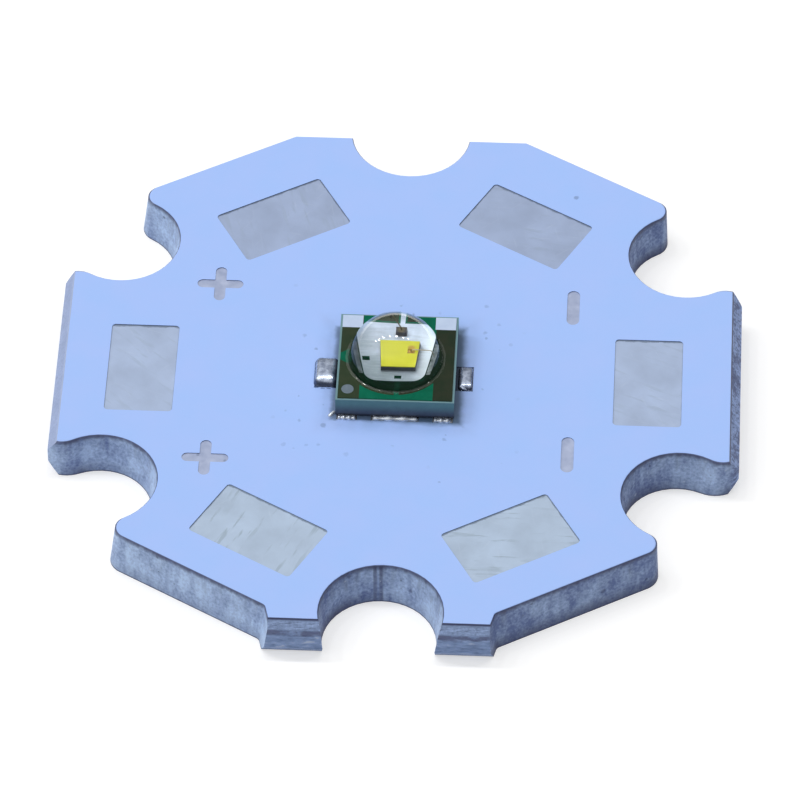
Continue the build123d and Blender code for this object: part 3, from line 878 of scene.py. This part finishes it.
def build_reflector():
    material, tree, shader = start_material("silver_reflector", Metallic=0.8, Roughness=0.5)
    grain = clouds(tree, place_in_mm(tree, scale=(1.2, 14, 1), turn=0.1), 1.5, 4.0, 1.4)
    cloud = clouds(tree, place_in_mm(tree), 2.2, 6.0, 2.0)
    shade = linear(tree, grain, 0.45, times(tree, cloud, 0.55))
    silver = mix_colours(tree, shade, silver_dark, silver_light)
    spot = axes_of(tree, place_in_mm(tree, centre=lens_middle))
    slant = linear(tree, spot["X"], 0.6, spot["Y"])
    dull = ramp_between(tree, linear(tree, cloud, 0.7, slant), 1.0, -0.6)
    silver = paint(tree, silver, dull_colour, dull, 0.55)
    # A painted highlight at the right end.
    silver = paint(tree, silver, painted_highlight_colour, ramp_between(tree, spot["X"], 0.35, 0.8), 0.6)
    tarnish = ramp_between(tree, linear(tree, cloud, -0.5, spot["Y"]), 0.2, 0.9)
    silver = paint(tree, silver, tarnish_colour, tarnish, 0.45)
    finish_surface(tree, shader, silver, height=shade, relief=0.006)
    return material


dress(build_reflector(), "reflector_pad")

# %% [markdown]
# The chip is a slab of dark crystal under a yellow converter, and a small diode lies behind it.
# Each has one stained patch, where its wire was welded on. The two places are in millimetres: one
# is beside the end of the chip's wire, and one near a corner of the diode's top. A patch has no
# thickness to speak of, so it is a mask in the finish and not a piece.

# %% Chip, converter and wires
def build_chip_finish(name, dark, light, patch_colour, patch_centre, patch_radius, roughness):
    material, tree, shader = start_material(name, Roughness=roughness)
    shade = clouds(tree, place_in_mm(tree), 6.0, 4.0, 1.4)
    distance = vector_node(tree, "LENGTH", place_in_mm(tree, centre=patch_centre))
    patch = ramp_between(tree, linear(tree, shade, 0.06, distance), patch_radius + 0.05,
                         patch_radius - 0.02)
    colour = paint(tree, mix_colours(tree, shade, dark, light), patch_colour, patch)
    finish_surface(tree, shader, colour, height=shade, relief=0.002)
    return material


weld = (0.272, 0.06, 2.25)
diode_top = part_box("protection_diode")[1] / MM
diode_weld = (diode_top.x - 0.1, diode_top.y - 0.06, diode_top.z + 0.02)
dress(build_chip_finish("yellow_converter", (0.5, 0.51, 0.015), (0.57, 0.57, 0.03),
                        (0.42, 0.27, 0.03), weld, patch_radius=0.085, roughness=0.6),
      "light_converter")
dress(build_chip_finish("chip_crystal", (0.03, 0.036, 0.045), (0.07, 0.08, 0.09),
                        (0.36, 0.22, 0.04), weld, patch_radius=0.2, roughness=0.3), "led_die")
dress(build_chip_finish("diode_crystal", (0.004, 0.004, 0.01), (0.018, 0.018, 0.024),
                        (0.09, 0.075, 0.03), diode_weld, patch_radius=0.09, roughness=0.4),
      "protection_diode")
dress(build_plain("die_solder", (0.3, 0.3, 0.32), (0.5, 0.5, 0.52), 0.4, metallic=0.9,
                  patches=8.0), "die_attach")
dress(build_plain("gold_wire", (0.4, 0.36, 0.28), (0.6, 0.56, 0.46), 0.35, metallic=1.0,
                  patches=20.0), "bond_wire_chip")
dress(build_plain("dull_gold_wire", (0.07, 0.065, 0.03), (0.12, 0.1, 0.05), 0.4, metallic=1.0,
                  patches=20.0), "bond_wire_diode")

# %% [markdown]
# ## The silicone dome
# The lens is a half ball of clear silicone, moulded straight onto the face. At its foot it runs
# out in a small fillet to a film only a few thousandths of a millimetre thick. The CAD solid has
# the chip's cavity in it and a straight skirt. For a clean look through it, the dome is made again
# without cavities: its outline is drawn point by point with extrude, then spun round the axis. Its
# underside dips a hair below the face, so that a ray inside meets the metal or the lacquer, and
# never a thin film of air.

# %% The dome's outline
lens_centre = Vector(((lens_low.x + lens_high.x) / 2, (lens_low.y + lens_high.y) / 2, lens_low.z))
skirt_radius = (lens_high.x - lens_low.x) / 2
dome_radius = lens_high.z - lens_low.z
dip = 0.004 * MM
skirt_thickness = 0.003 * MM
foot_fillet = 0.105 * MM
skirt_rounding = 0.002 * MM
rounding_steps, fillet_steps, dome_steps, spin_steps = 6, 8, 40, 128
quarter = math.pi / 2


def lens_profile():
    """Points out along the underside, up the skirt and over the dome, as (radius, height)."""
    points = [(0, -dip), (skirt_radius * 0.5, -dip), (skirt_radius, -dip)]
    for k in range(rounding_steps + 1):
        angle = quarter * k / rounding_steps
        points.append((skirt_radius - skirt_rounding * (1 - math.cos(angle)),
                       skirt_thickness - skirt_rounding * (1 - math.sin(angle))))
    rise = skirt_thickness + foot_fillet
    reach = math.sqrt((dome_radius + foot_fillet) ** 2 - rise ** 2)
    touch = math.atan2(rise, reach)
    for k in range(fillet_steps + 1):
        angle = -quarter - (quarter - touch) * k / fillet_steps
        points.append((reach + foot_fillet * math.cos(angle),
                       rise + foot_fillet * math.sin(angle)))
    for k in range(1, dome_steps + 1):
        angle = touch + (quarter - touch) * k / dome_steps
        points.append((dome_radius * math.cos(angle), dome_radius * math.sin(angle)))
    return points


print(len(lens_profile()), "points, dome radius in mm", round(dome_radius / MM, 3))

# %% [markdown]
# The spin turns the outline into a solid: a point is drawn out along the outline, and Spin copies
# it round the axis in small steps. A sphere cut in half would need the fillet added by hand. The
# points that meet on the axis are merged, and the normals are made to look outwards.

# %% Spin the dome
def spin_profile(name, points, centre, steps):
    """A closed piece from (radius, height) points, drawn with extrude and spun round Z."""
    bpy.ops.mesh.primitive_plane_add(size=MM, location=centre)
    piece = bpy.context.object
    piece.name = name
    bpy.ops.object.mode_set(mode="EDIT")
    bpy.ops.mesh.merge(type="CENTER")
    bpy.ops.transform.translate(value=Vector((points[0][0], 0, points[0][1])))
    for (radius, height), (next_radius, next_height) in zip(points, points[1:]):
        step = (next_radius - radius, 0, next_height - height)
        bpy.ops.mesh.extrude_vertices_move(TRANSFORM_OT_translate={"value": step})
    bpy.ops.mesh.select_all(action="SELECT")
    bpy.ops.mesh.spin(steps=steps, angle=2 * math.pi, center=centre, axis=(0, 0, 1))
    bpy.ops.mesh.select_all(action="SELECT")
    bpy.ops.mesh.remove_doubles(threshold=0.00001 * MM)
    bpy.ops.mesh.normals_make_consistent(inside=False)
    bpy.ops.object.mode_set(mode="OBJECT")
    bpy.ops.object.transform_apply(location=True, rotation=True, scale=True)
    bpy.ops.object.shade_smooth()
    bpy.ops.object.select_all(action="DESELECT")
    return piece


dome = spin_profile("silicone_dome", lens_profile(), lens_centre, spin_steps)
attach(dome, "root")
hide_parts("led_lens")
print("dome faces", len(dome.data.polygons), "top in mm",
      round(max(v.co.z for v in dome.data.vertices) / MM, 3))

# %% [markdown]
# Clear silicone bends light a little less than glass does: its index is about 1.41. A path tracer
# lets light through glass only by chance, so the pad under the dome would be dark and grainy. A
# Mix Shader that turns the dome transparent for shadow rays lets the lamps shine in.
#
# The lamps' glints come from a coat, because its roughness can differ from the clear body's. On
# the dome's sides a coat would mirror the bright board and veil the dark ring, so it is only
# where the dome looks up. The body's own reflection is turned down to what it has at a grazing
# angle, and the rim, where the silicone is thickest to look through, is a darker green.

# %% Clear silicone
clear_colour, rim_tint = (0.985, 1.0, 0.99), (0.3, 0.5, 0.42)
coat_from, coat_full = 0.6, 0.78
rim_from, rim_full = 0.6, 0.95


def build_silicone():
    material, tree, shader = start_material(
        "clear_silicone", Roughness=0.0, IOR=1.41, Transmission_Weight=1.0,
        Specular_Tint=(0.0, 0.0, 0.0), Coat_Roughness=0.075, Coat_IOR=1.5)
    upwards = axes_of(tree, facing_of(tree))["Z"]
    feed(tree, ramp_between(tree, upwards, coat_from, coat_full), shader.inputs["Coat Weight"])
    grazing = add_node(tree, "ShaderNodeLayerWeight", {"Blend": 0.5}).outputs["Facing"]
    rim = ramp_between(tree, grazing, rim_from, rim_full)
    feed(tree, mix_colours(tree, rim, clear_colour, rim_tint), shader.inputs["Base Color"])
    rays = add_node(tree, "ShaderNodeLightPath").outputs
    clear = add_node(tree, "ShaderNodeBsdfTransparent").outputs[0]
    mix = add_node(tree, "ShaderNodeMixShader",
                   {0: rays["Is Shadow Ray"], 1: shader.outputs[0], 2: clear}).outputs[0]
    feed(tree, mix, tree.nodes["Material Output"].inputs["Surface"])
    return material


dome.data.materials.append(build_silicone())
print("coat where the normal's Z is above", coat_from)

# %% [markdown]
# ## Solder
# Each joint was a dab of paste that melted. It stands on an ear beside the LED as a bright lump,
# and it shows as a bead along the front foot of the package. Melted metal has no edges: its
# outline is a rounded rectangle that draws in as it rises. So a lump starts as a flat rectangle
# with beveled corners, and each extrude lifts the face and shrinks it a little. A squashed ball
# would be quicker, but its outline would be an ellipse.

# %% Lumps
def finish_solid():
    """Leaves edit mode with the normals outwards and the place in the mesh."""
    bpy.ops.mesh.select_all(action="SELECT")
    bpy.ops.mesh.normals_make_consistent(inside=False)
    bpy.ops.object.mode_set(mode="OBJECT")
    bpy.ops.object.transform_apply(location=True, rotation=True, scale=True)
    bpy.ops.object.shade_smooth_by_angle(angle=math.radians(60))
    piece = bpy.context.object
    bpy.ops.object.select_all(action="DESELECT")
    heights = [vertex.co.z / MM for vertex in piece.data.vertices]
    print("solder from", round(min(heights), 3), "to", round(max(heights), 3), "mm high")
    return piece


def draw_lump(low, high, base, corner, rings):
    """A lump on a rectangle; a ring is its share of the foot, its height and its shift."""
    low, high = Vector((*low, base)) * MM, Vector((*high, base)) * MM
    middle = Vector(((low.x + high.x) / 2, (low.y + high.y) / 2, low.z))
    bpy.ops.mesh.primitive_plane_add(size=MM, location=middle)
    bpy.ops.object.mode_set(mode="EDIT")
    size = ((high.x - low.x) / MM, (high.y - low.y) / MM, 1)
    bpy.ops.transform.resize(value=size, center_override=middle)
    bpy.ops.mesh.bevel(offset=corner * MM, segments=7, affect="VERTICES")
    last_share, last_place = 1.0, Vector((0, 0, 0))
    for share, height, shift_x, shift_y in rings:
        place = Vector((shift_x, shift_y, height))
        step = (place - last_place) * MM
        bpy.ops.mesh.extrude_region_move(TRANSFORM_OT_translate={"value": step})
        ratio = share / last_share
        bpy.ops.transform.resize(value=(ratio, ratio, 1), center_override=middle + place * MM)
        last_share, last_place = share, place
    return finish_solid()


# %% [markdown]
# A bead is drawn the same way along a line: it starts as a flat circle, and each extrude moves it
# on and makes it a little wider or narrower, so it swells and draws in at its ends.

# %% Beads
swell_depth, swell_start = 0.28, 0.6
bead_sides = 20


def draw_bead(start, end, radius, swells, steps=28):
    """A bead from start to end, with its ends drawn in and a number of swells on the way."""
    start, end = Vector(start) * MM, Vector(end) * MM
    along = end - start
    radii = []
    for k in range(steps + 1):
        share = k / steps
        ends = math.sqrt(max(0.02, 1 - (2 * share - 1) ** 6))
        swell = 1 + swell_depth * math.sin(2 * math.pi * swells * share + swell_start)
        radii.append(radius * MM * ends * swell)
    bpy.ops.mesh.primitive_circle_add(
        vertices=bead_sides, radius=radii[0], fill_type="NGON", location=start,
        rotation=along.to_track_quat("Z", "Y").to_euler())
    bpy.ops.object.mode_set(mode="EDIT")
    step = along / steps
    for k, (now, after) in enumerate(zip(radii, radii[1:])):
        bpy.ops.mesh.extrude_region_move(TRANSFORM_OT_translate={"value": step})
        ratio = after / now
        bpy.ops.transform.resize(value=(ratio, ratio, ratio),
                                 center_override=start + step * (k + 1))
    return finish_solid()


# %% [markdown]
# Solder is bright metal, but it mirrors what is round it, and that is uneven here. The lumps on
# the ears get a painted dark reflection at the foot, and the left one higher up. The beads along
# the front get a painted light reflection of the pale board. Close to the package the solder gets
# painted shade again, like the lacquer's seam.

# %% Bright solder
ear_low, ear_high = -0.67, 0.31
solder_dark, solder_light = (0.2, 0.24, 0.34), (0.62, 0.7, 0.86)
# The foot, bead and seam colours are painted reflections and painted shade.
lump_foot_reflection, front_bead_reflection, led_contact_shade = (0.06, 0.08, 0.14), (0.85, 0.9, 0.97), (0.03, 0.045, 0.07)


def build_solder():
    material, tree, shader = start_material("bright_solder", Metallic=0.75)
    place = place_in_mm(tree)
    across = axes_of(tree, place)
    shade = clouds(tree, place, 4.0, 4.0, 3.0)
    colour = mix_colours(tree, shade, solder_dark, solder_light)
    # Painted light: a dark reflection at the lumps' foot, a light reflection on the front beads,
    # shade by the package.
    behind_front = ramp_between(tree, across["Y"], ear_low - 0.05, ear_low - 0.02)
    on_left = ramp_between(tree, across["X"], 0.5, -0.5)
    height = linear(tree, shade, 0.05, linear(tree, on_left, -0.13, across["Z"]))
    foot = times(tree, times(tree, ramp_between(tree, height, 1.47, 1.4), 0.85), behind_front)
    colour = paint(tree, colour, lump_foot_reflection, foot)
    front = ramp_between(tree, across["Y"], ear_low - 0.04, ear_low - 0.07)
    colour = paint(tree, colour, front_bead_reflection, front, 0.8)
    distance = use_group(tree, beside_led, place)["Distance"]
    contact_shade = times(tree, ramp_between(tree, distance, 0.16, 0.05),
                 ramp_between(tree, across["Y"], -1.6, -1.4))
    colour = paint(tree, colour, led_contact_shade, contact_shade, 0.85)
    finish_surface(tree, shader, colour, linear(tree, shade, 0.1, 0.2), shade, 0.004)
    return material


solder = build_solder()
print(solder.name, "has", len(solder.node_tree.nodes), "nodes")

# %% [markdown]
# The paste also filled the thin gap under each terminal. A low slab there closes the gap, and the
# lumps and beads grow out of it. Round it, and on the ears, a thin coat of tin covers the bottom
# of the lacquer's window.

# %% Slabs and tin
paste_low, paste_high = 1.35, 1.412
window_fill = 0.016
window_reach = 0.05


def draw_slab(low, high, corner, height):
    return draw_lump(low, high, paste_low, corner, [(1.0, height, 0, 0)])


def draw_paste(side):
    """The slab under a terminal, and the thin tin that covers the window round it."""
    low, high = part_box(f"terminal_{side}")
    foot_low, foot_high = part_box(f"solder_joint_{side}")
    return [draw_slab((low.x / MM, low.y / MM), (high.x / MM, high.y / MM), 0.03,
                      paste_high - paste_low),
            draw_slab((low.x / MM - window_reach, foot_low.y / MM),
                      (high.x / MM + window_reach, foot_high.y / MM), 0.02, window_fill)]


def draw_ear_tin(low_x, high_x):
    """The thin tin in an ear's window, which the lump leaves bare at its corners."""
    return draw_slab((low_x, ear_low), (high_x, ear_high), 0.02, window_fill)


def join_as(name, pieces, node):
    """Joins pieces into one that stands for a CAD node."""
    for piece in pieces:
        piece.select_set(True)
    bpy.context.view_layer.objects.active = pieces[0]
    bpy.ops.object.join()
    joint = bpy.context.object
    joint.name = name
    bpy.ops.object.select_all(action="DESELECT")
    joint.data.materials.clear()
    joint.data.materials.append(solder)
    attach(joint, "root")
    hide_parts(node)
    print(name, len(joint.data.polygons), "faces")


print("slabs are", round(paste_high - paste_low, 3), "mm high")

# %% [markdown]
# The left lump is full and steep, and four small dots of solder stick out of its front. The right
# one is flat and leans back and to the right. Beads lie along the front foot, at a place, a
# thickness and a number of swells read off the photograph.

# %% The three joints
full_shape = ((1.0, 0.042), (0.975, 0.06), (0.945, 0.09), (0.915, 0.13), (0.87, 0.175),
              (0.8, 0.212), (0.69, 0.245), (0.52, 0.268), (0.33, 0.281), (0.12, 0.286))
full_lump = [(share, height, 0, 0) for share, height in full_shape]
flat_lump = [(0.97, 0.02, 0, 0), (0.93, 0.06, 0.005, 0), (0.86, 0.1, 0.015, 0.01),
             (0.7, 0.122, 0.025, 0.02), (0.4, 0.13, 0.03, 0.03), (0.1, 0.132, 0.03, 0.03)]
dot_places = ((-2.34, -0.7), (-2.15, -0.74), (-1.97, -0.74), (-1.8, -0.7))
dot_half_length, dot_level = 0.045, 1.385
left_joint = [
    *draw_paste("left"),
    draw_ear_tin(-2.405, -1.6),
    draw_lump((-2.43, -0.685), (-1.7, 0.45), paste_low, corner=0.17, rings=full_lump),
    draw_bead((-1.66, -1.88, 1.395), (-1.13, -1.88, 1.395), radius=0.075, swells=3.4),
    draw_bead((-1.93, -1.86, 1.375), (-1.74, -1.64, 1.42), radius=0.05, swells=0.5),
]
for x, y in dot_places:
    left_joint.append(draw_bead((x - dot_half_length, y, dot_level),
                                (x + dot_half_length, y, dot_level), radius=0.04, swells=0.5,
                                steps=8))
join_as("joint_left", left_joint, "solder_joint_left")
middle_joint = [
    *draw_paste("middle"),
    draw_bead((-0.66, -1.865, 1.395), (0.68, -1.865, 1.395), radius=0.08, swells=3.2, steps=48),
]
join_as("joint_middle", middle_joint, "solder_joint_middle")
right_joint = [
    *draw_paste("right"),
    draw_ear_tin(1.6, 2.225),
    draw_lump((1.78, -0.6), (2.2, 0.29), paste_low, corner=0.07, rings=flat_lump),
    draw_bead((1.8, -0.5, 1.41), (2.08, -0.645, 1.39), radius=0.045, swells=0.5),
    draw_bead((1.13, -1.88, 1.395), (1.64, -1.89, 1.395), radius=0.075, swells=2.7),
]
join_as("joint_right", right_joint, "solder_joint_right")

# %% [markdown]
# ## Floor, sky and lamps
# The board lies on a white table. More light would turn the table white, and would burn out the
# board, too. So only the camera and the reflections see it glow white, and it lights the board
# no more than a pale grey table would.

# %% Floor
floor_drop = 0.002 * MM
bpy.ops.mesh.primitive_plane_add(size=3.0, location=(0, 0, -floor_drop))
floor = bpy.context.object
floor.name = "floor"


def build_floor():
    material, tree, shader = start_material("white_table", Base_Color=(0.58, 0.58, 0.58),
                                            Roughness=0.9, Emission_Strength=0.52)
    rays = add_node(tree, "ShaderNodeLightPath").outputs
    mirrored = math_node(tree, "MAXIMUM", rays["Is Glossy Ray"], rays["Is Transmission Ray"])
    seen = math_node(tree, "MAXIMUM", rays["Is Camera Ray"], mirrored)
    glow = mix_colours(tree, seen, (0, 0, 0), (1, 1, 1))
    feed(tree, glow, shader.inputs["Emission Color"])
    return material


floor.data.materials.append(build_floor())
print("floor in mm below the board", floor_drop / MM)

# %% [markdown]
# The sky fills in softly. An even sky would be simpler, but all the walls would look alike. This
# one is brighter overhead than near the horizon, and much brighter on the left, so walls that
# face left come out lighter.

# %% Sky
low_glow, high_glow = 0.14, 0.71
left_factor = -0.92


def build_sky():
    world = bpy.data.worlds.new("sky")
    bpy.context.scene.world = world
    world.use_nodes = True
    tree = world.node_tree
    across = axes_of(tree, add_node(tree, "ShaderNodeTexCoord").outputs["Generated"])
    glow = ramp_between(tree, across["Z"], 0.05, 0.8, low_glow, high_glow)
    from_left = linear(tree, across["X"], left_factor, 1.0)
    background = tree.nodes["Background"]
    feed(tree, times(tree, glow, from_left), background.inputs["Strength"])
    feed(tree, (1, 1, 1), background.inputs["Color"])


build_sky()
print("sky from", low_glow, "at the horizon to", high_glow, "overhead")

# %% [markdown]
# A row of seven small lamps hangs over the board, a little behind, and gives the dots of light on
# the dome and the solder. One large lamp would leave one large spot there. Together with the sky
# they light a level surface so that its colour comes out as it is written. Rays that have passed
# through the dome don't see the lamps, so the glints on it are its coat's alone.

# %% Lamps
lamp_count = 7
lamp_height = 0.3
lamp_spacing = 0.27 * lamp_height
row_start = -1.05 * lamp_height
row_back = 0.19 * lamp_height
lamp_size = 0.024
lamp_power = 0.0725
for k in range(lamp_count):
    place = Vector((row_start + k * lamp_spacing, row_back, lamp_height))
    bpy.ops.object.light_add(type="AREA", location=place)
    lamp = bpy.context.object
    lamp.name = f"lamp_{k + 1}"
    lamp.data.shape = "DISK"
    lamp.data.size = lamp_size
    lamp.data.energy = lamp_power
    lamp.rotation_euler = place.to_track_quat("Z", "Y").to_euler()
    lamp.visible_transmission = False
bpy.ops.object.select_all(action="DESELECT")

bpy.context.scene.view_settings.view_transform = "Standard"
print(lamp_count, "lamps of", lamp_power, "W")
